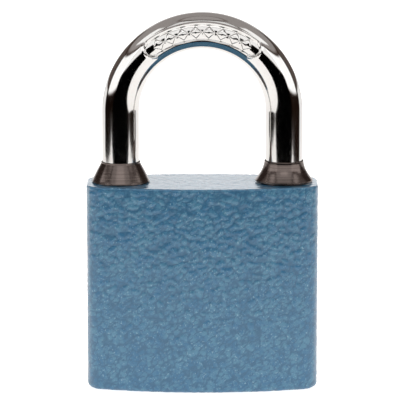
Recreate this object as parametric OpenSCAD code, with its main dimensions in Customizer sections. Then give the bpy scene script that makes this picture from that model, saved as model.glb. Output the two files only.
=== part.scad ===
// Solid-bodied padlock: a lens-shaped painted body, a round steel shackle, two flared collars and
// a five-pin cylinder whose cam draws two sprung bolts out of notches in the shackle.
// Frame: origin at the middle of the base, +Z up, +X towards the toe leg, -Y towards the front.
// Drawn closed with both bolts withdrawn; turning the plug to its other stop throws them.

/* [Body] */
// Width across the two ends
body_w = 50; // [48:0.5:60]
// Thickness at the middle
body_t = 20.8; // [20.4:0.1:26]
// Height of the body
body_h = 44.8; // [43:0.5:60]
// Radius of the curved front and rear faces
face_radius = 83; // [70:1:120]
// Radius of the four upright corners
corner_radius = 4; // [3:0.25:5]
// Rounding of the lower edge
bottom_round = 1.3; // [0.6:0.1:2]
// Rounding of the upper edge
top_round = 0.4; // [0.2:0.05:1]
// Metal left between a leg's bore and the end of the body
side_wall = 3.2; // [2.8:0.1:4]
// Metal left under the heel leg's bore
heel_floor = 2.5; // [2:0.1:4]

/* [Shackle] */
// Diameter of the bar
shackle_d = 8; // [7:0.1:9.6]
// Clear height from the body's top to the inside of the arch
shackle_room = 28.9; // [20:0.1:60]
// Depth of the toe leg inside the body
toe_depth = 12; // [11.5:0.1:13]
// Gap all round a leg in its bore
leg_gap = 0.15; // [0.1:0.01:0.3]
// Depth of the notches that the bolts enter
notch_depth = 2; // [1.8:0.1:2.2]
// Height of those notches
notch_h = 4.6; // [4.5:0.1:5]
// Height of the foot below the heel leg's neck
foot_h = 3; // [2.5:0.1:3.5]
// Rise of the toe's tip above its collar when the shackle is up
toe_clear = 0.75; // [0.5:0.05:2]
// Wire of the spring under the heel leg
shackle_wire = 0.8; // [0.6:0.05:0.9]

/* [Collars] */
// Height of a collar above the body
collar_h = 4.5; // [3.5:0.1:6]
// How far a collar's base stands out from the bar
collar_flare = 2.25; // [1.8:0.05:2.6]
// Width of the ring at the top of a collar
collar_rim = 0.15; // [0.1:0.05:0.6]
// Height of the upright edge at a collar's base
collar_lip = 0.35; // [0.2:0.05:0.8]
// Wall of the sleeve that sits in the body
spigot_wall = 0.85; // [0.7:0.05:1]
// Depth of that sleeve
spigot_depth = 1.6; // [1.2:0.1:2]
// How far the toe side's collar stands up from its seat
collar_proud = 0.25; // [0:0.05:0.4]

/* [Bolts] */
// Diameter of a bolt
bolt_d = 8.8; // [8.6:0.1:10.6]
// Gap all round a bolt in its bore
bolt_gap = 0.1; // [0.05:0.01:0.2]
// Distance that a bolt slides
bolt_travel = 2; // [1.8:0.1:2.2]
// Height of a bolt's tongue
tongue_h = 4.2; // [3.8:0.1:4.4]
// Gap between a drawn bolt's tongue and the leg
tongue_gap = 0.2; // [0.1:0.05:0.3]
// Metal left over the bolts' bore, under the collars' seats
bolt_roof = 0.9; // [0.6:0.1:2]
// Distance from the middle to the inner face of a drawn bolt's head
head_in = 8; // [7.9:0.1:8.2]
// Outer diameter of the springs between the bolts
bolt_spring_d = 3; // [2.6:0.1:3.1]
// Wire of those springs
bolt_wire = 0.4; // [0.3:0.05:0.45]

/* [Cylinder] */
// Diameter of the barrel
barrel_d = 17; // [14:0.1:17.4]
// Diameter of the plug
plug_d = 9.5; // [9:0.1:9.8]
// Running gap all round the plug
plug_gap = 0.05; // [0.03:0.01:0.08]
// Barrel wall on the side away from the pins
thin_wall = 0.9; // [0.8:0.05:1.2]
// Diameter of the pins
pin_d = 2.4; // [2.2:0.05:2.6]
// Distance from pin to pin
pin_pitch = 4.5; // [4:0.1:4.6]
// Height of the lowest pin
first_pin_z = 5.5; // [5:0.1:6]
// Length of the driver pins
driver_len = 2.4; // [2:0.1:2.6]
// Width of the keyway
keyway_w = 1.8; // [1.4:0.1:2]
// Radius of the cam's high point
cam_r = 4.92; // [4.8:0.01:4.95]

/* [Hidden] */
$fn = 96;
pin_count = 5;
numbers = [for (i = [1 : pin_count]) i];

// how far a cutting shape runs past the surface it opens
over = 1;
// line-to-line pieces of one assembly are drawn this far apart
seat = 0.02;

// shackle: the legs' bores set its width, so it follows the body and its side walls
leg_bore_r = shackle_d / 2 + leg_gap;
leg_x = body_w / 2 - side_wall - leg_bore_r;
leg_inner = leg_x - shackle_d / 2;
arch_z = body_h + shackle_room - leg_inner;
toe_tip_z = body_h - toe_depth;
shackle_lift = toe_depth + collar_h + collar_proud + toe_clear;
toe_floor_gap = 0.5;
tip_bevel = 0.8;
shackle_spring_play = 0.3;

// bolts: as high as the roof under the collars' seats allows
bolt_bore_r = bolt_d / 2 + bolt_gap;
bolt_z = body_h - spigot_depth - bolt_roof - bolt_bore_r;
tongue_x = leg_inner - tongue_gap;
head_gap = 0.3;
head_out = leg_x - leg_bore_r - bolt_travel - head_gap;
// the bore ends this far past the heel side's bolt when that bolt is thrown
bore_end_gap = 0.45;
side_plug_back = 0.2;

// heel pin: just under the bolts' bore, biting into the foot's path
heel_pin_r = 1.3;
heel_pin_bite = 1.4;
heel_pin_web = 0.6;
heel_pin_x = -(leg_inner + heel_pin_bite - heel_pin_r);
heel_pin_z = bolt_z - bolt_bore_r - heel_pin_web - heel_pin_r;
heel_pin_front = 6;
pin_play = 0.1;
pin_bevel = 0.3;
flat_play = 0.4;
flat_margin = 0.3;
neck_margin = 0.2;
flat_depth = heel_pin_bite + flat_play;
flat_top = heel_pin_z + heel_pin_r + flat_margin;
neck_low = heel_pin_z - shackle_lift - heel_pin_r - pin_play;
neck_top = bolt_z - shackle_lift + notch_h / 2 + neck_margin;
foot_z = neck_low - foot_h;

// cam: fills the space under the bolts' arms, and its rise is in proportion to its turn
arm_low = 1.2;
arm_play = 0.2;
cam_thick = 2.8;
cam_top = bolt_z - arm_low - arm_play;
cam_low = cam_top - cam_thick;
cam_rise = bolt_travel / 90;
cam_bore_r = 5.4;
cam_bore_top = bolt_z + 0.5;
cam_slot_gap = 0.05;
tab_in = 5;
tab_out = 6.8;
tab_low = bolt_z - cam_low - arm_play;
arm_gap = 0.25;
bolt_spring_y = 2.1;
bolt_spring_z = 1.2;
pocket_depth = 2.5;
pocket_play = 0.15;

// cylinder: off centre in the body, so that the pins have room on one side
barrel_r = barrel_d / 2;
plug_r = plug_d / 2;
plug_bore_r = plug_r + plug_gap;
barrel_x = barrel_r - plug_bore_r - thin_wall;
barrel_low = 0.2;
hub_room = 3.3;
barrel_top = cam_low - hub_room;
// the web that the plug's tail passes through, with the circlip above it
web_t = 2;
web_depth = 1.4;
web_top = barrel_top - web_depth;
web_low = web_top - web_t;
tail_r = 3.4;
groove_r = 2.8;
groove_low = web_top + 0.05;
groove_play = 0.1;
clip_r = 4.4;
clip_t = 0.7;
flange_r = 5.2;
flange_h = 1.2;
flange_z = 0.4;
flange_seat = 0.05;
web_gap = 0.1;
tang_w = 2.4;
tang_l = 5;
tang_rise = 1.1;
tang_top = cam_low + tang_rise;
hub_r = 3.4;
hub_low = barrel_top + 0.1;
// the hub runs this far up into the cam, and stays under the bolts' tabs
hub_bite = 0.1;
chamber_r = pin_d / 2 + 0.05;
keyway_past = 2.5;
keyway_top = first_pin_z + pin_pitch * (pin_count - 1) + keyway_past;
// the keyway's slot and the ward that narrows it, as shares of the plug's radius and the slot's width
keyway_start = 0.72;
keyway_share = 1.4;
ward_start = 0.3;
ward_share = 0.35;
ward_out = 0.9;
key_pin_top_gap = 0.07;
key_pin_lengths = [2.6, 3.4, 2.2, 3.8, 3.0];
barrel_pin_r = 1.2;
barrel_pin_share = 0.45;
barrel_pin_x = barrel_x + barrel_r * barrel_pin_share;
barrel_pin_z = web_low + web_t / 2;
barrel_pin_in = 4.6;
pin_wire = 0.35;
pin_spring_play = 0.15;
spring_end_gap = 0.1;
driver_x = plug_bore_r + seat;

function pin_z(i) = first_pin_z + (i - 1) * pin_pitch;

// ---- shared shapes ----

// Half of an upright section: flat to the axis, rounded at its lower and upper outer edges
module edge_profile(half) {
    square([half - bottom_round, body_h]);
    translate([0, bottom_round]) square([half, body_h - bottom_round - top_round]);
    translate([0, body_h / 2]) square([half - top_round, body_h / 2]);
    translate([half - bottom_round, bottom_round]) circle(bottom_round);
    translate([half - top_round, body_h - top_round]) circle(top_round);
}

// Drum whose rim is the front (side 1) or rear (side -1) face
module face_drum(side) {
    translate([0, side * (face_radius - body_t / 2), 0])
        rotate_extrude() edge_profile(face_radius);
}

// Slab whose two ends are the ends of the body
module end_slab() {
    rotate([90, 0, 0])
        linear_extrude(2 * body_t, center = true)
            union() {
                edge_profile(body_w / 2);
                mirror([1, 0]) edge_profile(body_w / 2);
            }
}

// Four posts and the two blocks between them, which round the upright corners.
// A post stands slightly through both faces, so that it crosses them cleanly.
module corner_posts() {
    bite = 0.05;
    post_x = body_w / 2 - corner_radius;
    drum_y = face_radius - body_t / 2;
    post_y = sqrt(pow(face_radius - corner_radius, 2) - pow(post_x, 2)) - drum_y;
    lean = corner_radius * post_x / (face_radius - corner_radius);
    translate([-(post_x + lean), -body_t, -over])
        cube([2 * (post_x + lean), 2 * body_t, body_h + 2 * over]);
    translate([-body_w, -post_y, -over])
        cube([2 * body_w, 2 * post_y, body_h + 2 * over]);
    for (sx = [-1, 1], sy = [-1, 1])
        translate([sx * post_x, sy * post_y, -over])
            cylinder(r = corner_radius + bite, h = body_h + 2 * over);
}

module body_blank() {
    intersection() {
        face_drum(1);
        face_drum(-1);
        end_slab();
        corner_posts();
    }
}

// Helical spring standing on z = 0, whose ends lie half a wire inside its height
function coil_point(t, turns, r, height, wire) =
    [r * cos(360 * turns * t), r * sin(360 * turns * t), wire / 2 + (height - wire) * t];

module coil(d, wire, height, turns) {
    sides = 6;
    steps = 14 * turns;
    r = (d - wire) / 2;
    points = [
        for (i = [0 : steps])
            let (t = i / steps, a = 360 * turns * t, c = coil_point(t, turns, r, height, wire))
                for (j = [0 : sides - 1])
                    let (b = 360 * j / sides, out = wire / 2 * cos(b))
                        [c[0] + out * cos(a), c[1] + out * sin(a), c[2] + wire / 2 * sin(b)]
    ];
    walls = [
        for (i = [0 : steps - 1], j = [0 : sides - 1])
            let (k = (j + 1) % sides)
                for (f = [[i * sides + j, (i + 1) * sides + j, (i + 1) * sides + k],
                          [i * sides + j, (i + 1) * sides + k, i * sides + k]])
                    f
    ];
    first_cap = [for (j = [0 : sides - 1]) j];
    last_cap = [for (j = [sides - 1 : -1 : 0]) steps * sides + j];
    polyhedron(points = points, faces = concat(walls, [first_cap, last_cap]));
}

// Turned pin along +X from x = 0, with both ends bevelled
module turned_pin(r, length, bevel) {
    rotate([0, 90, 0])
        rotate_extrude()
            polygon([[0, 0], [r - bevel, 0], [r, bevel], [r, length - bevel],
                     [r - bevel, length], [0, length]]);
}

// ---- body and what is fixed in it ----

module body() {
    color("#5f87a0")
        difference() {
            body_blank();
            translate([-leg_x, 0, heel_floor]) cylinder(r = leg_bore_r, h = body_h);
            translate([leg_x, 0, toe_tip_z - toe_floor_gap]) cylinder(r = leg_bore_r, h = body_h);
            for (side = [-1, 1])
                translate([side * leg_x, 0, body_h - spigot_depth])
                    cylinder(r = spigot_r() + seat, h = body_h);
            translate([-(tongue_x + bolt_travel + bore_end_gap), 0, bolt_z]) rotate([0, 90, 0])
                cylinder(r = bolt_bore_r, h = 2 * body_w);
            translate([barrel_x, 0, -over]) cylinder(r = barrel_r + seat, h = barrel_top + over);
            translate([0, 0, barrel_top - over])
                cylinder(r = cam_bore_r, h = cam_bore_top - barrel_top + over);
            translate([heel_pin_x, -heel_pin_front, heel_pin_z]) rotate([-90, 0, 0])
                cylinder(r = heel_pin_r, h = body_t + heel_pin_front);
            translate([barrel_pin_x, barrel_pin_in, barrel_pin_z]) rotate([-90, 0, 0])
                cylinder(r = barrel_pin_r, h = body_t);
        }
}

// Short plug in the toe side's end of the bolts' bore, dressed flush with the body
module side_plug() {
    color("#5f87a0")
        intersection() {
            body_blank();
            translate([leg_x + leg_bore_r + side_plug_back, 0, bolt_z]) rotate([0, 90, 0])
                cylinder(r = bolt_bore_r - seat, h = body_w);
        }
}

// Pin driven in from the rear along Y, bevelled at its inner end and dressed flush with the body
module rear_pin(x, y, z, r) {
    intersection() {
        body_blank();
        translate([x, y, z]) rotate([0, 0, 90]) turned_pin(r, body_t, pin_bevel);
    }
}

module heel_pin() {
    color("#5f87a0") rear_pin(heel_pin_x, -heel_pin_front, heel_pin_z, heel_pin_r - seat);
}

module barrel_pin() {
    color("#5f87a0") rear_pin(barrel_pin_x, barrel_pin_in, barrel_pin_z, barrel_pin_r - seat);
}

// ---- collars ----

function spigot_r() = leg_bore_r + spigot_wall;

module collar() {
    top_r = leg_bore_r + collar_rim;
    base_r = shackle_d / 2 + collar_flare;
    rotate_extrude()
        polygon([[leg_bore_r, seat - spigot_depth], [spigot_r(), seat - spigot_depth],
                 [spigot_r(), 0], [base_r, 0], [base_r, collar_lip],
                 [top_r, collar_h], [leg_bore_r, collar_h]]);
}

module collar_left() {
    color("#57514f") translate([-leg_x, 0, body_h]) collar();
}

module collar_right() {
    color("#57514f") translate([leg_x, 0, body_h + collar_proud]) collar();
}

// ---- shackle ----

module shackle() {
    r = shackle_d / 2;
    toe_len = arch_z - toe_tip_z;
    color("#d9d9d6")
        difference() {
            union() {
                translate([0, 0, arch_z]) rotate([90, 0, 0])
                    rotate_extrude(angle = 180) translate([leg_x, 0]) circle(r);
                translate([leg_x, 0, arch_z]) rotate([0, 90, 0]) turned_leg(r, toe_len, tip_bevel);
                translate([-leg_x, 0, arch_z]) rotate([0, 90, 0])
                    turned_leg(r, arch_z - foot_z, tip_bevel);
            }
            for (side = [-1, 1])
                translate([side * leg_inner - notch_depth, -body_t / 2, bolt_z - notch_h / 2])
                    cube([2 * notch_depth, body_t, notch_h]);
            translate([-leg_inner - flat_depth, -body_t / 2, neck_top - over])
                cube([2 * flat_depth, body_t, flat_top - neck_top + over]);
            translate([-leg_x, 0, neck_low])
                difference() {
                    cylinder(r = r + over, h = neck_top - neck_low);
                    translate([0, 0, -over])
                        cylinder(r = r - notch_depth, h = neck_top - neck_low + 2 * over);
                }
        }
}

// Leg of the bar along +X from x = 0, bevelled at its far end
module turned_leg(r, length, bevel) {
    rotate([0, 90, 0])
        rotate_extrude()
            polygon([[0, 0], [r, 0], [r, length - bevel], [r - bevel, length], [0, length]]);
}

module shackle_spring() {
    wire = shackle_wire;
    height = foot_z - heel_floor - 2 * seat;
    color("#8f9295")
        translate([-leg_x, 0, heel_floor + seat])
            coil(2 * (leg_bore_r - shackle_spring_play), wire, height, floor(height / wire) - 1);
}

// ---- bolts ----

// Bolt for the toe side, drawn inwards. Its arm reaches back across the middle to the cam.
// arm_side is 1 for an arm in the rear half and -1 for one in the front half.
module bolt(arm_side) {
    r = bolt_d / 2;
    reach = head_in + over;
    difference() {
        union() {
            intersection() {
                rotate([0, 90, 0]) cylinder(r = r, h = tongue_x);
                union() {
                    translate([head_in, -r, -r]) cube([head_out - head_in, 2 * r, 2 * r]);
                    translate([head_in, -r, -tongue_h / 2]) cube([body_w, 2 * r, tongue_h]);
                }
            }
            intersection() {
                translate([-tab_out, 0, 0]) rotate([0, 90, 0]) cylinder(r = r, h = reach + tab_out);
                translate([0, arm_side * (r + arm_gap), 0])
                    union() {
                        translate([-tab_out, -r, -arm_low]) cube([tab_out + reach, 2 * r, 2 * r]);
                        translate([-tab_out, -r, -tab_low]) cube([tab_out - tab_in, 2 * r, tab_low]);
                    }
            }
        }
        translate([head_in, -arm_side * bolt_spring_y, bolt_spring_z]) rotate([0, 90, 0])
            cylinder(r = bolt_spring_d / 2 + pocket_play, h = 2 * pocket_depth, center = true);
    }
}

module bolt_right() {
    color("#9a9c9e") translate([0, 0, bolt_z]) bolt(1);
}

module bolt_left() {
    color("#9a9c9e") translate([0, 0, bolt_z]) rotate([0, 0, 180]) bolt(1);
}

// Spring from the end of the other bolt's arm into the pocket of the toe side's bolt
module bolt_spring() {
    length = head_in + pocket_depth - tab_out - 2 * seat;
    translate([tab_out + seat, -bolt_spring_y, bolt_z + bolt_spring_z]) rotate([0, 90, 0])
        coil(bolt_spring_d, bolt_wire, length, floor(length / bolt_wire / 1.5));
}

module bolt_spring_front() {
    color("#8f9295") bolt_spring();
}

module bolt_spring_rear() {
    color("#8f9295") rotate([0, 0, 180]) bolt_spring();
}

// ---- cylinder ----

module cylinder_barrel() {
    color("#c8a24a")
        difference() {
            translate([barrel_x, 0, barrel_low])
                cylinder(r = barrel_r, h = barrel_top - barrel_low - seat);
            translate([0, 0, -over]) cylinder(r = plug_bore_r, h = web_low + over);
            translate([0, 0, -over])
                cylinder(r = flange_r + plug_gap, h = flange_z + flange_h + flange_seat + over);
            cylinder(r = tail_r + plug_gap, h = body_h);
            translate([0, 0, web_top]) cylinder(r = plug_r, h = body_h);
            for (i = numbers)
                translate([0, 0, pin_z(i)]) rotate([0, 90, 0])
                    cylinder(r = chamber_r, h = body_w);
            translate([barrel_pin_x, barrel_pin_in, barrel_pin_z]) rotate([-90, 0, 0])
                cylinder(r = barrel_pin_r, h = body_t);
        }
}

// The plug's keyway and pin holes are in line with +X when it is locked, so a quarter turn at rest
module turned_to_rest() {
    rotate([0, 0, 90]) children();
}

module plug() {
    color("#d2ae5c")
        turned_to_rest()
            difference() {
                union() {
                    translate([0, 0, flange_z]) cylinder(r = plug_r, h = web_low - web_gap - flange_z);
                    translate([0, 0, flange_z]) cylinder(r = flange_r, h = flange_h);
                    translate([0, 0, web_low - over]) cylinder(r = tail_r, h = barrel_top - web_low + over);
                    translate([-tang_l / 2, -tang_w / 2, barrel_top - over])
                        cube([tang_l, tang_w, tang_top - barrel_top + over]);
                }
                translate([0, 0, groove_low])
                    difference() {
                        cylinder(r = plug_d, h = clip_t + groove_play);
                        cylinder(r = groove_r, h = clip_t + groove_play);
                    }
                translate([-plug_r * keyway_start, -keyway_w / 2, -over])
                    cube([plug_r * keyway_share, keyway_w, keyway_top + over]);
                translate([-plug_r * ward_start, -keyway_w * ward_out, -over])
                    cube([plug_r * ward_share, keyway_w, keyway_top + over]);
                for (i = numbers)
                    translate([0, 0, pin_z(i)]) rotate([0, 90, 0])
                        cylinder(r = chamber_r, h = plug_d);
            }
}

module circlip() {
    opening = 3.2;
    color("#6f7275")
        turned_to_rest()
            translate([0, 0, groove_low + groove_play / 2])
                difference() {
                    cylinder(r = clip_r, h = clip_t);
                    translate([0, 0, -over]) cylinder(r = groove_r + groove_play / 2, h = clip_t + 2 * over);
                    translate([0, -opening / 2, -over]) cube([plug_d, opening, clip_t + 2 * over]);
                }
}

// Outline whose width towards an angle a from 0 to 90 is low by cam_rise for each degree,
// on both sides, so that each bolt slides in proportion to the turn
function cam_point(a, start) =
    let (reach = cam_r - cam_rise * a, slope = cam_rise * 180 / PI, b = a + start)
        [reach * cos(b) + slope * sin(b), reach * sin(b) - slope * cos(b)];

module cam() {
    outline = [for (start = [0, 180], a = [0 : 6 : 90]) cam_point(a, start)];
    color("#b8bcbf")
        difference() {
            union() {
                translate([0, 0, cam_low]) linear_extrude(cam_thick) polygon(outline);
                translate([0, 0, hub_low]) cylinder(r = hub_r, h = cam_low - hub_low + hub_bite);
            }
            turned_to_rest()
                translate([-tang_l / 2 - cam_slot_gap, -tang_w / 2 - cam_slot_gap, hub_low - over])
                    cube([tang_l + 2 * cam_slot_gap, tang_w + 2 * cam_slot_gap, tang_top - hub_low + over + 2 * cam_slot_gap]);
        }
}

// Key pins hang between the keyway and the plug's surface, crowned to clear the barrel
module key_pin(i) {
    r = pin_d / 2;
    length = key_pin_lengths[i - 1];
    crown = 0.35;
    color("#c9a552")
        turned_to_rest()
            translate([plug_r - key_pin_top_gap - length, 0, pin_z(i)]) rotate([0, 90, 0])
                rotate_extrude()
                    polygon([[0, 0], [r * 0.3, 0], [r, r * 0.6], [r, length - crown],
                             [r * 0.55, length], [0, length]]);
}

module driver_pin(i) {
    color("#9a9c9e") translate([driver_x, 0, pin_z(i)]) turned_pin(pin_d / 2, driver_len, 0.25);
}

module pin_spring(i) {
    start = driver_x + driver_len + seat;
    length = barrel_x + barrel_r - start - spring_end_gap;
    color("#8f9295")
        translate([start, 0, pin_z(i)]) rotate([0, 90, 0])
            coil(pin_d - 2 * pin_spring_play, pin_wire, length, floor(length / pin_wire / 1.6));
}

body();
side_plug();
heel_pin();
barrel_pin();
collar_left();
collar_right();
shackle();
shackle_spring();
bolt_left();
bolt_right();
bolt_spring_front();
bolt_spring_rear();
cylinder_barrel();
plug();
circlip();
cam();
for (i = numbers) {
    key_pin(i);
    driver_pin(i);
    pin_spring(i);
}
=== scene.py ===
"""A solid-bodied padlock with a round shackle, dressed piece by piece around its frame."""

import math

import bmesh
import bpy
import numpy as np
from mathutils import Matrix, Vector, kdtree


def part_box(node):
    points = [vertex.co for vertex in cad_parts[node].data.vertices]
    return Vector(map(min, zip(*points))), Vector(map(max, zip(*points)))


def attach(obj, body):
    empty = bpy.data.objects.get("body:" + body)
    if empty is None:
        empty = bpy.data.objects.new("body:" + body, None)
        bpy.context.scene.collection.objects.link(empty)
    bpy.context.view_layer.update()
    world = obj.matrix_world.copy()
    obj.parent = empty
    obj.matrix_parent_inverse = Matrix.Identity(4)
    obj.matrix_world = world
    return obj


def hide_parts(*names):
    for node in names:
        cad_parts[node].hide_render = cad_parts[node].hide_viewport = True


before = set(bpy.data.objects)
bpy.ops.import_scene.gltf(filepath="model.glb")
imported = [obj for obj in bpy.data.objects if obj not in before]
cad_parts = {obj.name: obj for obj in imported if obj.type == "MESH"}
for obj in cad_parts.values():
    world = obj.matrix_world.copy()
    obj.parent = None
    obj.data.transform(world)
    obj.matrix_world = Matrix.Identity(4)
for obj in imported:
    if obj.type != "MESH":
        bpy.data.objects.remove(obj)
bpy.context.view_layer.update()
MM = 0.001

# ---- The camera ----
# The lock stands square to the lens and a little below it. The lens is long, so the upright
# edges stay almost parallel and only a sliver of the body's top shows.
PITCH = math.radians(10.4)
DISTANCE = 595 * MM
SIGHT_HEIGHT = 40.7 * MM
SIGHT_ASIDE = -0.5 * MM
camera = bpy.data.objects.new("camera", bpy.data.cameras.new("camera"))
camera.data.sensor_width = 36
camera.data.lens = 246.9
camera.data.clip_start = 0.01
camera.location = (
    SIGHT_ASIDE,
    -DISTANCE * math.cos(PITCH),
    SIGHT_HEIGHT + DISTANCE * math.sin(PITCH),
)
camera.rotation_euler = (math.pi / 2 - PITCH, 0, 0)
bpy.context.scene.collection.objects.link(camera)
bpy.context.scene.camera = camera


# ---- The studio ----
# A white sheet to stand on, a white wall straight behind with grey-brown walls beside it, soft
# boxes at the sides, and a window and a white ceiling above the lens. The room in front, past
# the sheet, is dark brown, which is what gives chrome its black middle.
def linear(colour):
    """A colour written as sRGB hex, as the linear values that a shader takes."""
    parts = [int(colour[i : i + 2], 16) / 255 for i in (1, 3, 5)]
    flat = [c / 12.92 if c <= 0.04045 else ((c + 0.055) / 1.055) ** 2.4 for c in parts]
    return (*flat, 1.0)


def add(tree, kind, inputs=None, **settings):
    """Adds a node with its settings. An input is a value, or the node or socket that feeds it."""
    node = tree.nodes.new(kind)
    for name, value in settings.items():
        setattr(node, name, value)
    for name, value in (inputs or {}).items():
        if isinstance(name, int):
            socket = node.inputs[name]
        else:
            socket = next(s for s in node.inputs if s.name == name and s.enabled)
        if isinstance(value, bpy.types.Node):
            value = next(s for s in value.outputs if s.enabled)
        if isinstance(value, bpy.types.NodeSocket):
            tree.links.new(value, socket)
        else:
            socket.default_value = value
    return node


def band(tree, angle, low, high, soft):
    """1 where an angle lies from low to high degrees, fading to 0 over soft degrees outside."""
    edges = [math.radians(x) for x in (low - soft, low, high, high + soft)]
    rise = add(
        tree,
        "ShaderNodeMapRange",
        {"Value": angle, "From Min": edges[0], "From Max": edges[1]},
        interpolation_type="SMOOTHSTEP",
    )
    fall = add(
        tree,
        "ShaderNodeMapRange",
        {"Value": angle, "From Min": edges[3], "From Max": edges[2]},
        interpolation_type="SMOOTHSTEP",
    )
    return add(tree, "ShaderNodeMath", {0: rise, 1: fall}, operation="MULTIPLY")


# Each light spans bearings from the front, right being positive, and elevations, in degrees.
# Then come the degrees over which it fades and its brightness. Where two overlap, they add up.
LIGHTS = [
    ((-98, -47), (6, 28), 4, 1.3),  # soft box on the left
    ((48, 98), (6, 28), 4, 1.3),  # soft box on the right
    ((-46, 47), (13, 30), 3, 1.1),  # long window above the lens
    ((-48, 48), (35, 69), 4, 0.85),  # white ceiling over the lens
    ((-20, 20), (36, 48), 4, 0.6),  # and the lamp in it
    ((152, 181), (-28, 19), 4, 1.25),  # white wall straight behind
    ((-181, -152), (-28, 19), 4, 1.25),
    ((112, 146), (-28, 3), 4, 1.0),  # the foot of that wall, further to the sides
    ((-146, -112), (-28, 3), 4, 1.0),
    ((56, 181), (36, 71), 6, 0.47),  # grey-brown wall and ceiling
    ((-181, -56), (36, 71), 6, 0.47),
    ((60, 84), (42, 58), 3, 0.7),  # the two windows in it
    ((-84, -60), (42, 58), 3, 0.7),
    ((106, 146), (9, 28), 5, 0.22),  # its darker part, low at the sides
    ((-146, -106), (9, 28), 5, 0.22),
    ((152, 181), (25, 30), 4, 0.7),  # where it meets the white wall
    ((-181, -152), (25, 30), 4, 0.7),
    ((-181, 181), (77, 91), 4, 0.5),  # grey ceiling overhead
    ((-108, -50), (-28, 2), 4, 0.02),  # dark room at the sides
    ((50, 108), (-28, 2), 4, 0.04),
    ((-181, 181), (-91, -30), 4, 0.5),  # what little comes from under the table
]
FULL_TINT = 0.75  # a light dimmer than this is browner
world = bpy.data.worlds.new("studio")
bpy.context.scene.world = world
world.use_nodes = True
sky = world.node_tree
sky.nodes.clear()
toward = add(
    sky, "ShaderNodeSeparateXYZ", {0: add(sky, "ShaderNodeTexCoord").outputs["Generated"]}
)
forward = add(sky, "ShaderNodeMath", {0: toward.outputs["Y"], 1: -1.0}, operation="MULTIPLY")
bearing = add(
    sky, "ShaderNodeMath", {0: toward.outputs["X"], 1: forward}, operation="ARCTAN2"
)
height = add(sky, "ShaderNodeMath", {0: toward.outputs["Z"]}, operation="ARCSINE")
glow = 0.0
for bearings, heights, soft, strength in LIGHTS:
    spot = add(
        sky,
        "ShaderNodeMath",
        {0: band(sky, bearing, *bearings, soft), 1: band(sky, height, *heights, soft)},
        operation="MULTIPLY",
    )
    glow = add(sky, "ShaderNodeMath", {0: spot, 1: strength, 2: glow}, operation="MULTIPLY_ADD")
seen = add(sky, "ShaderNodeLightPath").outputs["Is Camera Ray"]
brightness = add(sky, "ShaderNodeMix", {"Factor": seen, "A": glow, "B": 1.0})
tint = add(
    sky,
    "ShaderNodeMix",
    {
        "Factor": add(sky, "ShaderNodeMapRange", {"Value": brightness, "From Max": FULL_TINT}),
        "A": linear("#8a5a3c"),
        "B": linear("#ffffff"),
    },
    data_type="RGBA",
)
backdrop = add(sky, "ShaderNodeBackground", {"Color": tint, "Strength": brightness})
add(sky, "ShaderNodeOutputWorld", {"Surface": backdrop})
bpy.context.scene.view_settings.view_transform = "Standard"

# a lamp straight above, behind a lattice, so that polished metal doesn't show it
lamp = bpy.data.objects.new("lamp", bpy.data.lights.new("lamp", "AREA"))
lamp.data.size = 300 * MM
lamp.data.energy = 0.5
lamp.location = (0, 0, 400 * MM)
lamp.visible_glossy = False
lamp.visible_camera = False
bpy.context.scene.collection.objects.link(lamp)


def new_finish(name):
    """A material with only its Principled shader, and the tree to add to."""
    finish = bpy.data.materials.new(name)
    finish.use_nodes = True
    tree = finish.node_tree
    tree.nodes.clear()
    shader = add(tree, "ShaderNodeBsdfPrincipled")
    add(tree, "ShaderNodeOutputMaterial", {"Surface": shader})
    return finish, tree, shader


def place(name, mesh, finish):
    """Puts a mesh in the scene as an object at the origin."""
    mesh.materials.append(finish)
    made = bpy.data.objects.new(name, mesh)
    bpy.context.scene.collection.objects.link(made)
    return made


FAR = 3.0


def card(name, left, right, front, z, strength):
    """A level sheet of matt white card, lit through so that hardly a shadow shows. From below
    it is clear, so that the lock's underside can be seen."""
    finish, tree, shader = new_finish(name)
    shader.inputs["Base Color"].default_value = linear("#fbfaf8")
    shader.inputs["Roughness"].default_value = 0.9
    shader.inputs["Specular IOR Level"].default_value = 0.0
    shader.inputs["Emission Color"].default_value = linear("#ffffff")
    shader.inputs["Emission Strength"].default_value = strength
    both = add(
        tree,
        "ShaderNodeMixShader",
        {
            0: add(tree, "ShaderNodeNewGeometry").outputs["Backfacing"],
            1: shader,
            2: add(tree, "ShaderNodeBsdfTransparent"),
        },
    )
    tree.links.new(both.outputs[0], tree.nodes["Material Output"].inputs["Surface"])
    mesh = bpy.data.meshes.new(name)
    corners = [(left, front, z), (right, front, z), (right, FAR, z), (left, FAR, z)]
    mesh.from_pydata(corners, [], [(0, 1, 2, 3)])
    made = place(name, mesh, finish)
    return made


# the floor that shows, and just under it the sheet that lights the lock and that it mirrors
floor = card("floor", -FAR, FAR, -FAR, -0.1 * MM, 0.85)
floor.visible_diffuse = False
floor.visible_glossy = False
floor.visible_shadow = False
bounce = card("bounce", -310 * MM, 280 * MM, -200 * MM, -0.2 * MM, 0.42)
bounce.visible_camera = False


# ---- The body ----
# A solid block of zinc alloy, cast to a lens-shaped plan and bored for the legs, the bolts and
# the cylinder. It is finished in blue hammered enamel, which dries in small rounded cells.
FACE_RADIUS = 83
CORNER = 4
BOTTOM_ROUND = 1.3
TOP_ROUND = 0.4
half_width, half_depth, tall = np.array(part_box("body")[1]) / MM
WALL_GRID = 0.31
CAP_GRID = 0.42
CAP_GATHER = 0.35  # share of a cap's length that its rings lose towards the mid-line
CELL = 1.15
CELL_SPREAD = 1.35  # how much wider than tall a cell is
CELL_SCATTER = 0.46  # how far a cell's seed strays from its place in the grid, in cells
CELL_BEND = 0.3
CREASE_REACH = 0.8 * CELL
CREASE_SHARE = 0.45  # of the relief; the rest is the cells' domes
CREASE_DEPTH = 0.095


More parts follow.
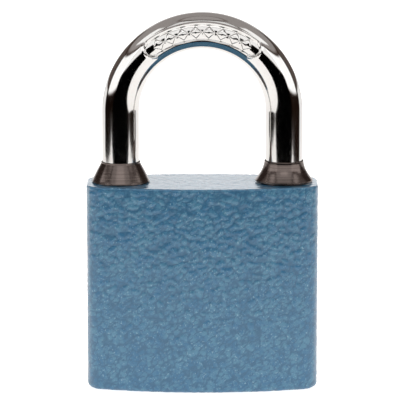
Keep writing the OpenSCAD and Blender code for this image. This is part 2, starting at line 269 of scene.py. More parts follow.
def quarter_outline(count):
    """Points and outward normals along a quarter of the plan, from the +X end to the +Y face."""
    away = FACE_RADIUS - half_depth
    corner_x = half_width - CORNER
    corner_y = math.sqrt((FACE_RADIUS - CORNER) ** 2 - corner_x**2) - away
    meet = math.atan2(corner_y + away, corner_x)
    lengths = np.array([corner_y, CORNER * meet, FACE_RADIUS * (math.pi / 2 - meet)])
    ends = np.cumsum(lengths)
    points = []
    normals = []
    for s in np.linspace(0, ends[-1], count + 1):
        if s <= ends[0]:
            points.append((half_width, s))
            normals.append((1, 0))
            continue
        if s <= ends[1]:
            turn = (s - ends[0]) / CORNER
            centre, radius = (corner_x, corner_y), CORNER
        else:
            turn = meet + (s - ends[1]) / FACE_RADIUS
            centre, radius = (0, -away), FACE_RADIUS
        way = np.array([math.cos(turn), math.sin(turn)])
        points.append(np.array(centre) + radius * way)
        normals.append(way)
    return np.array(points), np.array(normals), ends[-1]


def whole_outline(step):
    """The full plan, counter-clockwise, as points and outward normals about a step apart."""
    length = quarter_outline(1)[2]
    quarter = quarter_outline(round(length / step))[:2]
    whole = []
    for part in quarter:
        there, back = part[:-1], part[:0:-1]
        whole.append(np.vstack([there, back * (-1, 1), -there, back * (1, -1)]))
    return whole


def block_rings():
    """Rings of points and normals, from the base's middle up the wall to the top's middle."""
    plan, out = whole_outline(WALL_GRID)
    cap_steps = round(half_depth / CAP_GRID)
    # a ring is (inset, height, lean of the normal, how far it has closed towards the mid-line)
    rings = [(BOTTOM_ROUND, 0, -90, 1 - k / cap_steps) for k in range(cap_steps)]
    for turn in np.linspace(90, 0, 8):
        a = math.radians(turn)
        inset, z = BOTTOM_ROUND * (1 - math.cos(a)), BOTTOM_ROUND * (1 - math.sin(a))
        rings.append((inset, z, -turn, 0))
    wall = np.linspace(BOTTOM_ROUND, tall - TOP_ROUND, round(tall / WALL_GRID))
    rings += [(0, z, 0, 0) for z in wall[1:-1]]
    for turn in np.linspace(0, 90, 5):
        a = math.radians(turn)
        inset, z = TOP_ROUND * (1 - math.cos(a)), tall - TOP_ROUND * (1 - math.sin(a))
        rings.append((inset, z, turn, 0))
    rings += [(TOP_ROUND, tall, 90, k / cap_steps) for k in range(1, cap_steps + 1)]
    points = []
    normals = []
    for inset, z, lean, closed in rings:
        ring = (plan - out * inset) * (1 - CAP_GATHER * closed, 1 - closed)
        tilt = math.radians(lean)
        points.append(np.column_stack([ring, np.full(len(ring), z)]))
        normals.append(
            np.column_stack([out * math.cos(tilt), np.full(len(ring), math.sin(tilt))])
        )
    return np.array(points), np.array(normals)


def hammered(points):
    """How deep each point sinks, 0 to 1, in the domed cells that the enamel dries to, and how
    close it is to the crease between two cells, 0 to 1."""
    random = np.random.default_rng(17)
    x, y, z = points.T
    waves = [np.sin(2.1 * z + 1.3 * x), np.sin(1.9 * x + 0.7), np.sin(2.3 * x + 1.1 * y)]
    bent = (points + CELL_BEND * np.column_stack(waves)) / (CELL_SPREAD, CELL_SPREAD, 1)
    low = bent.min(0) - CELL
    counts = np.ceil((bent.max(0) + CELL - low) / CELL).astype(int)
    grid = np.stack(np.meshgrid(*[np.arange(n) for n in counts], indexing="ij"), -1)
    scatter = random.uniform(-CELL_SCATTER, CELL_SCATTER, (grid.size // 3, 3))
    seeds = low + (grid.reshape(-1, 3) + scatter) * CELL
    tree = kdtree.KDTree(len(seeds))
    for i, seed in enumerate(seeds):
        tree.insert(seed, i)
    tree.balance()
    nearest = np.empty((len(points), 2))
    for i, p in enumerate(bent):
        nearest[i] = [found[2] for found in tree.find_n(p, 2)]
    first, second = nearest.T
    crease = (1 - np.clip((second - first) / CREASE_REACH, 0, 1)) ** 2
    dome = np.clip(first / CREASE_REACH, 0, 1) ** 2
    return CREASE_SHARE * crease + (1 - CREASE_SHARE) * dome, crease


def grid_mesh(name, points):
    """A mesh from rings of points in mm, each ring closed on itself."""
    rings, sides = points.shape[:2]
    index = np.arange(rings * sides).reshape(rings, sides)
    across = np.roll(index, -1, axis=1)
    quads = np.stack([index[:-1], across[:-1], across[1:], index[1:]], -1).reshape(-1, 4)
    mesh = bpy.data.meshes.new(name)
    mesh.from_pydata((points.reshape(-1, 3) * MM).tolist(), [], quads.tolist())
    return mesh


def merged(mesh):
    """Merges a mesh's doubles, drops what has no area, and turns its faces outwards."""
    work = bmesh.new()
    work.from_mesh(mesh)
    bmesh.ops.remove_doubles(work, verts=work.verts, dist=1e-7)
    bmesh.ops.dissolve_degenerate(work, edges=work.edges, dist=1e-7)
    bmesh.ops.recalc_face_normals(work, faces=work.faces)
    work.to_mesh(mesh)
    work.free()
    return mesh


def turned(name, profile, finish, where=Matrix.Identity(4), sides=96, ring=False):
    """A turned piece: a profile of (radius, height) in mm spun round Z, then put in place. A
    ring's profile closes on itself instead of at the axis."""
    if ring:
        profile = [*profile, profile[0]]
    turn = np.arange(sides) * 2 * math.pi / sides
    rows = [
        np.column_stack([r * np.cos(turn), r * np.sin(turn), np.full(sides, float(h))])
        for r, h in profile
    ]
    mesh = merged(grid_mesh(name, np.array(rows)))
    mesh.transform(where)
    return place(name, mesh, finish)


def along(x, y, z, axis="Z"):
    """Puts a turned piece's foot at a point in mm and points it along +X, +Y or +Z."""
    turns = {
        "X": Matrix.Rotation(math.pi / 2, 4, "Y"),
        "Y": Matrix.Rotation(-math.pi / 2, 4, "X"),
        "Z": Matrix.Identity(4),
    }
    return Matrix.Translation(Vector((x, y, z)) * MM) @ turns[axis]


def rod(radius, length, bevel=0.0):
    """The profile of a plain round bar, bevelled at both ends."""
    return [
        (0, 0),
        (radius - bevel, 0),
        (radius, bevel),
        (radius, length - bevel),
        (radius - bevel, length),
        (0, length),
    ]


def carve(piece, cutters, operation="DIFFERENCE"):
    """Cuts a piece with each cutter in turn. A cut face keeps the cutter's own finish."""
    for cutter in cutters:
        cut = piece.modifiers.new("cut", "BOOLEAN")
        cut.operation = operation
        cut.solver = "MANIFOLD"
        cut.material_mode = "TRANSFER"
        cut.object = cutter
    settle(piece)
    for cutter in cutters:
        bpy.data.objects.remove(cutter)


def settle(piece):
    """Turns a piece and its modifiers into one plain mesh."""
    bpy.context.view_layer.update()
    graph = bpy.context.evaluated_depsgraph_get()
    mesh = bpy.data.meshes.new_from_object(piece.evaluated_get(graph), depsgraph=graph)
    piece.modifiers.clear()
    piece.data = mesh


def smooth(piece, edge=40):
    """Shades a piece smooth, with its edges sharper than so many degrees kept crisp."""
    piece.data.shade_smooth()
    piece.data.set_sharp_from_angle(angle=math.radians(edge))


def marks(tree, pitches):
    """Noise in the object's own frame, whose grain is so many mm long along X, Y and Z."""
    here = add(tree, "ShaderNodeTexCoord").outputs["Object"]
    scales = [1 / (pitch * MM) for pitch in pitches]
    stretched = add(tree, "ShaderNodeMapping", {"Vector": here, "Scale": scales})
    return add(
        tree,
        "ShaderNodeTexNoise",
        {"Vector": stretched, "Scale": 1.0, "Detail": 3.0, "Roughness": 0.6},
    )


def feed(tree, node, shader, name):
    """Links a node's live output to one of a shader's inputs."""
    tree.links.new(next(s for s in node.outputs if s.enabled), shader.inputs[name])


# Hammered enamel: aluminium flake in a blue glossy resin. The cells' crowns are silvery where
# the flake lies flat, the creases between them are deep blue, and the resin gives a clear gloss.
enamel, tree, shader = new_finish("hammered_blue_enamel")
sunk = add(tree, "ShaderNodeAttribute", attribute_name="sunk").outputs["Fac"]
drift = marks(tree, (2.6, 2.6, 2.6)).outputs["Fac"]
flake = marks(tree, (0.35, 0.35, 0.35)).outputs["Fac"]
uneven = add(
    tree,
    "ShaderNodeMapRange",
    {"Value": drift, "From Min": 0.35, "From Max": 0.65},
    interpolation_type="SMOOTHSTEP",
)
crown = add(
    tree,
    "ShaderNodeMix",
    {"Factor": uneven, "A": linear("#326e94"), "B": linear("#4b829f")},
    data_type="RGBA",
)
speckled = add(
    tree,
    "ShaderNodeMix",
    {
        "Factor": add(
            tree, "ShaderNodeMapRange", {"Value": flake, "From Min": 0.58, "From Max": 0.72}
        ),
        "A": crown,
        "B": linear("#8ab0c2"),
    },
    data_type="RGBA",
)
crease = add(
    tree,
    "ShaderNodeMapRange",
    {"Value": sunk, "From Min": 0.4, "From Max": 1.0},
    interpolation_type="SMOOTHSTEP",
)
paint = add(
    tree,
    "ShaderNodeMix",
    {"Factor": crease, "A": speckled, "B": linear("#2f6384")},
    data_type="RGBA",
)
feed(tree, paint, shader, "Base Color")
shader.inputs["Metallic"].default_value = 0.25
shader.inputs["Roughness"].default_value = 0.4
shader.inputs["Coat Weight"].default_value = 1.0
shader.inputs["Coat Roughness"].default_value = 0.14
bump = add(tree, "ShaderNodeBump", {"Height": flake, "Strength": 0.25, "Distance": 0.05 * MM})
feed(tree, bump, shader, "Normal")

# Bored zinc alloy: dull grey, with the rings that the boring bar leaves.
bored, tree, shader = new_finish("bored_zinc_alloy")
shader.inputs["Base Color"].default_value = linear("#9a9b99")
shader.inputs["Metallic"].default_value = 1.0
shader.inputs["Roughness"].default_value = 0.42
boring_rings = marks(tree, (60, 60, 0.25)).outputs["Fac"]
bump = add(
    tree,
    "ShaderNodeBump",
    {"Height": boring_rings, "Strength": 0.4, "Distance": 0.03 * MM},
)
feed(tree, bump, shader, "Normal")

points, normals = block_rings()
shape = points.shape
depths, creases = hammered(points.reshape(-1, 3))
points = points.reshape(-1, 3) - normals.reshape(-1, 3) * (CREASE_DEPTH * depths)[:, None]
block = grid_mesh("block", points.reshape(shape))
block.attributes.new("sunk", "FLOAT", "POINT").data.foreach_set("value", creases)
block = merged(block)


def enamelled(name):
    """An uncut copy of the enamelled block."""
    return place(name, block.copy(), enamel)


def middle(node, axis):
    """The middle of a CAD node along an axis, in mm."""
    way = "XYZ".index(axis)
    return sum(corner[way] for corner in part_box(node)) / 2 / MM


heel_x = middle("collar_left", "X")
toe_x = middle("collar_right", "X")
bolt_z = middle("bolt_left", "Z")
LEG_BORE = 4.15
HEEL_FLOOR = 2.5
TOE_DEPTH = 12
toe_floor = tall - TOE_DEPTH - 0.5
SEAT_RADIUS = 5.02
SEAT_DEPTH = 1.6
BOLT_BORE = 4.5
BOLT_BORE_END = -15.9
BARREL_BORE = 8.52
BARREL_MOUTH = 0.3
PLAY = 0.02  # between a part that is pressed in and its seat
barrel_x = middle("cylinder_barrel", "X")
barrel_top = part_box("cylinder_barrel")[1].z / MM + PLAY
CAM_BORE = 5.4
cam_bore_top = bolt_z + 0.5
HEEL_PIN_RADIUS = 1.3
HEEL_PIN_FRONT = -6
heel_pin = (middle("heel_pin", "X"), HEEL_PIN_FRONT, middle("heel_pin", "Z"))
BARREL_PIN_RADIUS = 1.2
BARREL_PIN_FRONT = 4.6
barrel_pin = (middle("barrel_pin", "X"), BARREL_PIN_FRONT, middle("barrel_pin", "Z"))
PAST = 5  # how far a cutter runs out of the block
INTO = 1  # how far a cutter runs into the bore before it


def bore(radius, length, where, mouth=0.0):
    """A cutter for a bore, widened by a small bevel at its mouth."""
    profile = rod(radius, length)
    if mouth:
        start = length - PAST - mouth
        profile[3:] = [(radius, start), (radius + mouth + PAST, length), (0, length)]
    return turned("bore", profile, bored, where)


body = enamelled("body_block")
down = Matrix.Rotation(math.pi, 4, "X")
carve(
    body,
    [
        bore(LEG_BORE, tall - HEEL_FLOOR + PAST, along(heel_x, 0, HEEL_FLOOR)),
        bore(LEG_BORE, tall - toe_floor + PAST, along(toe_x, 0, toe_floor)),
        bore(SEAT_RADIUS, SEAT_DEPTH + PAST, along(heel_x, 0, tall - SEAT_DEPTH)),
        bore(SEAT_RADIUS, SEAT_DEPTH + PAST, along(toe_x, 0, tall - SEAT_DEPTH)),
        bore(BOLT_BORE, 2 * half_width, along(BOLT_BORE_END, 0, bolt_z, "X")),
        bore(BARREL_BORE, barrel_top + PAST, along(barrel_x, 0, barrel_top) @ down, BARREL_MOUTH),
        bore(CAM_BORE, cam_bore_top - barrel_top + INTO, along(0, 0, barrel_top - INTO)),
        bore(HEEL_PIN_RADIUS, 2 * half_depth, along(*heel_pin, "Y")),
        bore(BARREL_PIN_RADIUS, half_depth + PAST, along(*barrel_pin, "Y")),
    ],
)
smooth(body, 50)
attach(body, "lock_body")
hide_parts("body")


# ---- Plug and pins in the body's bores ----
# The toe side's end of the bolts' bore is closed by a plug, and two pins are driven in from the
# rear. All three are dressed flush with the block before it is enamelled, so they hardly show.
PIN_BEVEL = 0.3
PLUG_BACK = 22


def dressed_flush(name, profile, where, node):
    """The part of the enamelled block that a plug or pin takes up."""
    piece = enamelled(name)
    carve(piece, [turned("stock", profile, bored, where)], "INTERSECT")
    smooth(piece, 50)
    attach(piece, "lock_body")
    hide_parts(node)


dressed_flush(
    "bore_end_plug",
    rod(BOLT_BORE - PLAY, half_width),
    along(PLUG_BACK, 0, bolt_z, "X"),
    "side_plug",
)
dressed_flush(
    "heel_retaining_pin",
    rod(HEEL_PIN_RADIUS - PLAY, 2 * half_depth, PIN_BEVEL),
    along(*heel_pin, "Y"),
    "heel_pin",
)
dressed_flush(
    "barrel_retaining_pin",
    rod(BARREL_PIN_RADIUS - PLAY, 2 * half_depth, PIN_BEVEL),
    along(*barrel_pin, "Y"),
    "barrel_pin",
)


# ---- The cylinder ----
# Barrel, plug and key pins are turned from brass bar. The plug is broached for the key, turned
# down to a tail with a flat tongue, and held by a steel circlip.
def finish_of(node, finish):
    """Gives a CAD node a finish, leaving its shape as it is."""
    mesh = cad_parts[node].data
    mesh.materials.clear()
    mesh.materials.append(finish)


def softened(name, node, finish, body_name, width):
    """A copy of a CAD node with its doubles merged and its sharp edges broken by a bevel."""
    mesh = merged(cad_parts[node].data.copy())
    work = bmesh.new()
    work.from_mesh(mesh)
    bmesh.ops.dissolve_limit(
        work, angle_limit=math.radians(0.5), verts=work.verts, edges=work.edges
    )
    work.to_mesh(mesh)
    work.free()
    mesh.materials.clear()
    piece = place(name, mesh, finish)
    bevel = piece.modifiers.new("broken_edges", "BEVEL")
    bevel.width = width * MM
    bevel.segments = 2
    bevel.limit_method = "ANGLE"
    bevel.angle_limit = math.radians(50)
    bevel.harden_normals = False
    settle(piece)
    smooth(piece, 30)
    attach(piece, body_name)
    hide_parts(node)
    return piece


# Turned brass: warm yellow, with fine rings from the tool and a duller film between them.
brass, tree, shader = new_finish("turned_brass")
rings = marks(tree, (40, 40, 0.16)).outputs["Fac"]
tarnish = marks(tree, (1.6, 1.6, 1.6)).outputs["Fac"]
bright = add(
    tree,
    "ShaderNodeMix",
    {"Factor": rings, "A": linear("#c69c4e"), "B": linear("#ecd08c")},
    data_type="RGBA",
)
brass_tone = add(
    tree,
    "ShaderNodeMix",
    {
        "Factor": add(
            tree, "ShaderNodeMapRange", {"Value": tarnish, "From Min": 0.5, "From Max": 0.9}
        ),
        "A": bright,
        "B": linear("#8b6a38"),
    },
    data_type="RGBA",
)
feed(tree, brass_tone, shader, "Base Color")
shader.inputs["Metallic"].default_value = 1.0
shader.inputs["Roughness"].default_value = 0.3
bump = add(tree, "ShaderNodeBump", {"Height": rings, "Strength": 0.4, "Distance": 0.02 * MM})
feed(tree, bump, shader, "Normal")

# Drawn spring wire and stamped spring steel: dark grey under an oil film, drawn along its length.
spring_steel, tree, shader = new_finish("drawn_spring_steel")
drawn = marks(tree, (0.5, 0.5, 0.12)).outputs["Fac"]
wire_tone = add(
    tree,
    "ShaderNodeMix",
    {"Factor": drawn, "A": linear("#5d6063"), "B": linear("#a3a5a7")},
    data_type="RGBA",
)
feed(tree, wire_tone, shader, "Base Color")
shader.inputs["Metallic"].default_value = 1.0
shader.inputs["Roughness"].default_value = 0.33
bump = add(tree, "ShaderNodeBump", {"Height": drawn, "Strength": 0.3, "Distance": 0.01 * MM})
feed(tree, bump, shader, "Normal")

# Ground steel: bright grey, with the fine straight scratches of a grinding wheel.
ground_steel, tree, shader = new_finish("ground_steel")
ground = marks(tree, (4, 0.14, 0.14)).outputs["Fac"]
steel_tone = add(
    tree,
    "ShaderNodeMix",
    {"Factor": ground, "A": linear("#8c8e90"), "B": linear("#c5c7c8")},
    data_type="RGBA",
)
feed(tree, steel_tone, shader, "Base Color")
shader.inputs["Metallic"].default_value = 1.0
shader.inputs["Roughness"].default_value = 0.28
bump = add(tree, "ShaderNodeBump", {"Height": ground, "Strength": 0.35, "Distance": 0.015 * MM})
feed(tree, bump, shader, "Normal")

softened("cylinder_barrel_turned", "cylinder_barrel", brass, "lock_body", 0.12)
softened("cylinder_plug_turned", "plug", brass, "plug_group", 0.1)
softened("plug_circlip", "circlip", spring_steel, "plug_group", 0.06)
softened("bolt_cam", "cam", ground_steel, "plug_group", 0.08)
for i in range(1, 6):
    finish_of(f"key_pin_{i}", brass)
    finish_of(f"driver_pin_{i}", ground_steel)

# ---- The bolts ----
# Two steel bolts, turned and milled alike, slide in one bore. Each has an arm that reaches past
# the other to the cam, and a tongue that enters the notch in a leg.
softened("heel_side_bolt", "bolt_left", ground_steel, "bolt_left", 0.12)
softened("toe_side_bolt", "bolt_right", ground_steel, "bolt_right", 0.12)


# ---- The springs ----
# Eight coils of hard-drawn steel wire, cold wound, with the turn at either end closed up: five
# behind the driver pins, two between the bolts, and a big one under the heel leg.
def coil_tree():
    """Geometry Nodes for a coil that stands on the XY plane, with its ends inside its height."""
    tree = bpy.data.node_groups.new("wound_spring", "GeometryNodeTree")
    tree.interface.new_socket("Geometry", in_out="OUTPUT", socket_type="NodeSocketGeometry")
    for name in ("Diameter", "Wire", "Height", "Turns", "Closed Turns"):
        tree.interface.new_socket(name, in_out="INPUT", socket_type="NodeSocketFloat")
    sizes = add(tree, "NodeGroupInput").outputs
    across = add(
        tree, "ShaderNodeMath", {0: sizes["Diameter"], 1: sizes["Wire"]}, operation="SUBTRACT"
    )
    radius = add(tree, "ShaderNodeMath", {0: across, 1: 0.5}, operation="MULTIPLY")
    helix = add(
        tree,
        "GeometryNodeCurveSpiral",
        {
            "Resolution": 28,
            "Rotations": sizes["Turns"],
            "Start Radius": radius,
            "End Radius": radius,
            "Height": 0.0,
        },
    )

    # the wire climbs by its own thickness each turn, and the turns between the closed ones
    # share what is left of the height
    share = add(tree, "GeometryNodeSplineParameter").outputs["Factor"]
    wound = add(
        tree, "ShaderNodeMath", {0: sizes["Wire"], 1: sizes["Turns"]}, operation="MULTIPLY"
    )
    rise = add(
        tree, "ShaderNodeMath", {0: sizes["Height"], 1: sizes["Wire"]}, operation="SUBTRACT"
    )
    spare = add(tree, "ShaderNodeMath", {0: rise, 1: wound}, operation="SUBTRACT")
    end_share = add(
        tree,
        "ShaderNodeMath",
        {0: sizes["Closed Turns"], 1: sizes["Turns"]},
        operation="DIVIDE",
    )
    open_end = add(tree, "ShaderNodeMath", {0: 1.0, 1: end_share}, operation="SUBTRACT")
    opened = add(
        tree,
        "ShaderNodeMapRange",
        {"Value": share, "From Min": end_share, "From Max": open_end},
    )
    half_wire = add(tree, "ShaderNodeMath", {0: sizes["Wire"], 1: 0.5}, operation="MULTIPLY")
    climb = add(
        tree, "ShaderNodeMath", {0: share, 1: wound, 2: half_wire}, operation="MULTIPLY_ADD"
    )
    climb = add(
        tree, "ShaderNodeMath", {0: opened, 1: spare, 2: climb}, operation="MULTIPLY_ADD"
    )
    lifted = add(
        tree,
        "GeometryNodeSetPosition",
        {"Geometry": helix, "Offset": add(tree, "ShaderNodeCombineXYZ", {"Z": climb})},
    )
    wire = add(
        tree, "GeometryNodeCurvePrimitiveCircle", {"Resolution": 12, "Radius": half_wire}
    )
    swept = add(
        tree,
        "GeometryNodeCurveToMesh",
        {"Curve": lifted, "Profile Curve": wire, "Fill Caps": True},
    )
    real = add(tree, "GeometryNodeRealizeInstances", {"Geometry": swept})
    finished = add(
        tree, "GeometryNodeSetMaterial", {"Geometry": real, "Material": spring_steel}
    )
    add(tree, "NodeGroupOutput", {"Geometry": finished})
    return tree


SPRINGS = coil_tree()


def spring(name, node, body_name, axis, wire, turns):
    """Winds a spring that fills its CAD node's length and width along one axis."""
    low, high = (np.array(corner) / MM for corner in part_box(node))
    way = "XYZ".index(axis)
    span = high - low
    sizes = {
        "Diameter": span[(way + 1) % 3] * MM,
        "Wire": wire * MM,
        "Height": span[way] * MM,
        "Turns": turns,
        "Closed Turns": 1.0,
    }
    piece = place(name, bpy.data.meshes.new(name), spring_steel)
    winding = piece.modifiers.new("winding", "NODES")
    winding.node_group = SPRINGS
    for socket in SPRINGS.interface.items_tree:
        if socket.in_out == "INPUT":
            winding[socket.identifier] = sizes[socket.name]
    settle(piece)
    foot = (low + high) / 2
    foot[way] = low[way]
    piece.data.transform(along(*foot, axis))
    merged(piece.data)
    smooth(piece)
    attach(piece, body_name)
    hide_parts(node)


# wire in mm, then turns
for i in range(1, 6):
    spring(f"driver_spring_{i}", f"pin_spring_{i}", "lock_body", "X", 0.35, 6.5)
spring("bolt_spring_at_the_front", "bolt_spring_front", "bolt_right", "X", 0.4, 6.0)
spring("bolt_spring_at_the_rear", "bolt_spring_rear", "bolt_left", "X", 0.4, 6.0)
spring("heel_leg_spring", "shackle_spring", "lock_body", "Z", 0.8, 7.0)


# ---- The shackle ----
# Eight millimetre round bar of hardened steel, bent hot, notched for the bolts on the inside of
# both legs and necked above the heel's foot. A band is stamped round its crown, and it is chromed.
BAR = 4.0
ARCH_RADIUS = toe_x
shackle_low, shackle_high = (np.array(corner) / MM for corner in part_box("shackle"))
ARCH_Z = shackle_high[2] - BAR - ARCH_RADIUS
TOE_TIP = tall - TOE_DEPTH
TIP_BEVEL = 0.8
LEG_STEP = 0.8
BEND_STEP = 1.5  # degrees
FINE_STEP = 0.13
BAND_MARGIN = 3  # degrees of fine steps past the band
AWAY = 99  # along the crown, for a station that is on a leg
BAND_REACH = 43  # degrees either side of the crown
BAND_HALF_WIDTH = 2.0
BAND_DEPTH = 0.52
RIM_RISE = 0.1
LOZENGES = 8
LOZENGE_HALF = (1.25, 1.4)


def soft_step(value, low, high):
    """0 below low, 1 above high, and smooth between."""
    t = np.clip((value - low) / (high - low), 0, 1)
    return t * t * (3 - 2 * t)


def stamped(u, v):
    """How far the bar's surface stands out at u along the crown and v across the front, in mm."""
    reach = ARCH_RADIUS * math.radians(BAND_REACH)
    past_end = np.maximum(np.abs(u) - (reach - BAND_HALF_WIDTH), 0)
    outside = np.hypot(past_end, v) - BAND_HALF_WIDTH
    sunk = soft_step(-outside, 0.0, 0.3)
    rim = np.exp(-(((outside - 0.12) / 0.16) ** 2))
    pitch = 2 * (reach - BAND_HALF_WIDTH) / LOZENGES
    row = np.clip(np.round(u / pitch - 0.5), -LOZENGES / 2, LOZENGES / 2 - 1) + 0.5
    long, wide = LOZENGE_HALF
    inside = 1 - np.abs(u - row * pitch) / long - np.abs(v) / wide
    lozenge = 0.5 * soft_step(inside, -0.1, 0.08) + 0.5 * np.clip(inside, 0, 0.8)
    return -BAND_DEPTH * sunk * (1 - lozenge) + RIM_RISE * rim


def leg_stations(x, heights, radii):
    """Stations down or up a leg, which faces away from the arch's middle."""
    return [(x, z, math.copysign(1, x), 0, AWAY, radius) for z, radius in zip(heights, radii)]


def bar_stations():
    """(centre x, centre z, outward x, outward z, along the crown, radius) from heel to toe."""
    foot = shackle_low[2]
    bevel = np.array([0, 0.5, 1]) * TIP_BEVEL
    bevel_radii = BAR - TIP_BEVEL + bevel
    heel = np.arange(foot + 1.5 * LEG_STEP, ARCH_Z - LEG_STEP / 2, LEG_STEP)
    toe = np.arange(ARCH_Z - LEG_STEP, TOE_TIP + 1.5 * LEG_STEP, -LEG_STEP)
    fine = np.degrees(FINE_STEP / ARCH_RADIUS)
    fine_end = BAND_REACH + BAND_MARGIN
    turns = np.concatenate(
        [
            np.arange(-90, -fine_end, BEND_STEP),
            np.arange(-fine_end, fine_end, fine),
            np.arange(fine_end, 90.1, BEND_STEP),
        ]
    )
    bend = []
    for turn in np.radians(turns):
        out_x, out_z = math.sin(turn), math.cos(turn)
        centre = (ARCH_RADIUS * out_x, ARCH_Z + ARCH_RADIUS * out_z)
        bend.append((*centre, out_x, out_z, ARCH_RADIUS * turn, BAR))
    return [
        *leg_stations(-ARCH_RADIUS, foot + bevel, bevel_radii),
        *leg_stations(-ARCH_RADIUS, heel, [BAR] * len(heel)),
        *bend,
        *leg_stations(ARCH_RADIUS, toe, [BAR] * len(toe)),
        *leg_stations(ARCH_RADIUS, TOE_TIP + bevel[::-1], bevel_radii[::-1]),
    ]


# round the bar from the outside of the bend by the front, which is finely divided
FRONT = (40, 140)
AROUND_STEP = 0.14
BACK_STEP = 5  # degrees
around = np.radians(
    np.concatenate(
        [
            np.arange(*FRONT, math.degrees(AROUND_STEP / BAR)),
            np.arange(FRONT[1], FRONT[0] + 360, BACK_STEP),
        ]
    )
)
front_arc = (around - math.pi / 2) * BAR
rings = []
for x, z, out_x, out_z, crown, radius in bar_stations():
    reach = radius + stamped(crown, front_arc)
    out = reach * np.cos(around)
    rings.append(np.column_stack([x + out * out_x, -reach * np.sin(around), z + out * out_z]))
closed_ends = [np.broadcast_to(rings[end].mean(0), rings[end].shape) for end in (0, -1)]
rings = [closed_ends[0], *rings, closed_ends[1]]

# Bright chrome over nickel: nearly a mirror, with the faint ripple that the polished bar keeps.
chrome, tree, shader = new_finish("bright_chrome_plate")
ripple = marks(tree, (1.4, 1.4, 3.5)).outputs["Fac"]
haze = marks(tree, (0.5, 0.5, 0.5)).outputs["Fac"]
chrome_tone = add(
    tree,
    "ShaderNodeMix",
    {"Factor": haze, "A": linear("#dcdad7"), "B": linear("#eceae8")},
    data_type="RGBA",
)
feed(tree, chrome_tone, shader, "Base Color")
shader.inputs["Metallic"].default_value = 1.0
shader.inputs["Roughness"].default_value = 0.07
bump = add(tree, "ShaderNodeBump", {"Height": ripple, "Strength": 0.12, "Distance": 0.05 * MM})
feed(tree, bump, shader, "Normal")

shackle = place("shackle_bar", merged(grid_mesh("shackle_bar", np.array(rings))), chrome)
NOTCH_DEPTH = 2.0
NOTCH_HALF_HEIGHT = 2.3
FLAT_DEPTH = 1.8
FLAT_TOP = heel_pin[2] + 1.6
NECK_RADIUS = 2.0
NECK_TOP = bolt_z - 15
NECK_FOOT = heel_pin[2] - 18.9
CLEAR = 2  # how far a cutter stands out of the bar


def block_cutter(x0, x1, z0, z1):
    """A square cutter that runs right through the bar from front to back."""
    mesh = bpy.data.meshes.new("cutter")
    work = bmesh.new()
    bmesh.ops.create_cube(work, size=1.0)
    work.to_mesh(mesh)
    work.free()
    centre = Vector(((x0 + x1) / 2, 0, (z0 + z1) / 2)) * MM
    size = Vector((x1 - x0, 2 * half_depth, z1 - z0)) * MM
    mesh.transform(Matrix.Translation(centre) @ Matrix.Diagonal((*size, 1)))
    return place("cutter", mesh, chrome)


inside_x = ARCH_RADIUS - BAR
notch = (bolt_z - NOTCH_HALF_HEIGHT, bolt_z + NOTCH_HALF_HEIGHT)
neck_tool = [
    (NECK_RADIUS, NECK_FOOT),
    (BAR + INTO, NECK_FOOT),
    (BAR + INTO, NECK_TOP),
    (NECK_RADIUS, NECK_TOP),
]
carve(
    shackle,
    [
        block_cutter(inside_x - CLEAR, inside_x + NOTCH_DEPTH, *notch),
        block_cutter(-inside_x - NOTCH_DEPTH, CLEAR - inside_x, *notch),
        block_cutter(-inside_x - FLAT_DEPTH, CLEAR - inside_x, NECK_TOP - INTO, FLAT_TOP),
        turned("neck_tool", neck_tool, chrome, along(-ARCH_RADIUS, 0, 0), ring=True),
    ],
)
smooth(shackle, 38)
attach(shackle, "shackle")
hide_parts("shackle")


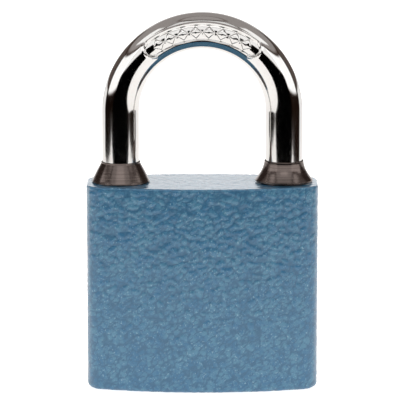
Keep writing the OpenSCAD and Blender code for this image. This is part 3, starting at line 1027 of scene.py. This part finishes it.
# ---- The collars ----
# Two flared steel rings, turned and plated in black nickel, pressed into the seats round the
# legs. The toe side's one stands a little proud of its seat, and its flare is more hollow.
COLLAR_BORE = 4.15
SLEEVE = 5.0
BASE = (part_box("collar_left")[1].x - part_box("collar_left")[0].x) / 2 / MM
RIM = 4.24
RIM_ROUND = 0.3
LIP = 0.35
EDGE = 0.07
RIM_EDGE = 0.05
RIM_LEAN = 0.01  # how far the rim leans out over the flare's end
FLARE_POINTS = 14
COLLAR_SIDES = 160


def collar(name, node, swell):
    """A collar lathed to fill its CAD node, with its edges broken. Its flare is so many mm full,
    or hollow where that is negative."""
    low, high = (np.array(corner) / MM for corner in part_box(node))
    top = high[2]
    sleeve_end = low[2]
    base = sleeve_end + SEAT_DEPTH - PLAY
    straight = np.linspace(BASE - EDGE, RIM - RIM_LEAN, FLARE_POINTS)
    flare_radii = straight + swell * np.sin(np.linspace(0, math.pi, FLARE_POINTS))
    flare_heights = np.linspace(base + LIP, top - RIM_ROUND, FLARE_POINTS)
    profile = [
        (COLLAR_BORE, sleeve_end),
        (SLEEVE - EDGE, sleeve_end),
        (SLEEVE, sleeve_end + EDGE),
        (SLEEVE, base),
        (BASE - EDGE, base),
        (BASE, base + EDGE),
        (BASE, base + LIP - EDGE),
        *zip(flare_radii, flare_heights),
        (RIM, top - RIM_ROUND / 4),
        (COLLAR_BORE + RIM_EDGE, top),
        (COLLAR_BORE, top - RIM_EDGE),
    ]
    where = along(middle(node, "X"), 0, 0)
    piece = turned(name, profile, black_nickel, where, COLLAR_SIDES, ring=True)
    smooth(piece, 25)
    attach(piece, "lock_body")
    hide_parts(node)


# Black nickel: a smoky, brownish mirror over turning rings that the plating doesn't quite hide.
black_nickel, tree, shader = new_finish("black_nickel_plate")
lathe_rings = marks(tree, (30, 30, 0.2)).outputs["Fac"]
nickel_tone = add(
    tree,
    "ShaderNodeMix",
    {"Factor": lathe_rings, "A": linear("#554b47"), "B": linear("#857974")},
    data_type="RGBA",
)
feed(tree, nickel_tone, shader, "Base Color")
shader.inputs["Metallic"].default_value = 1.0
shader.inputs["Roughness"].default_value = 0.18
bump = add(tree, "ShaderNodeBump", {"Height": lathe_rings, "Strength": 0.6, "Distance": 0.03 * MM})
feed(tree, bump, shader, "Normal")
collar("heel_collar", "collar_left", 0.06)
collar("toe_collar", "collar_right", -0.35)
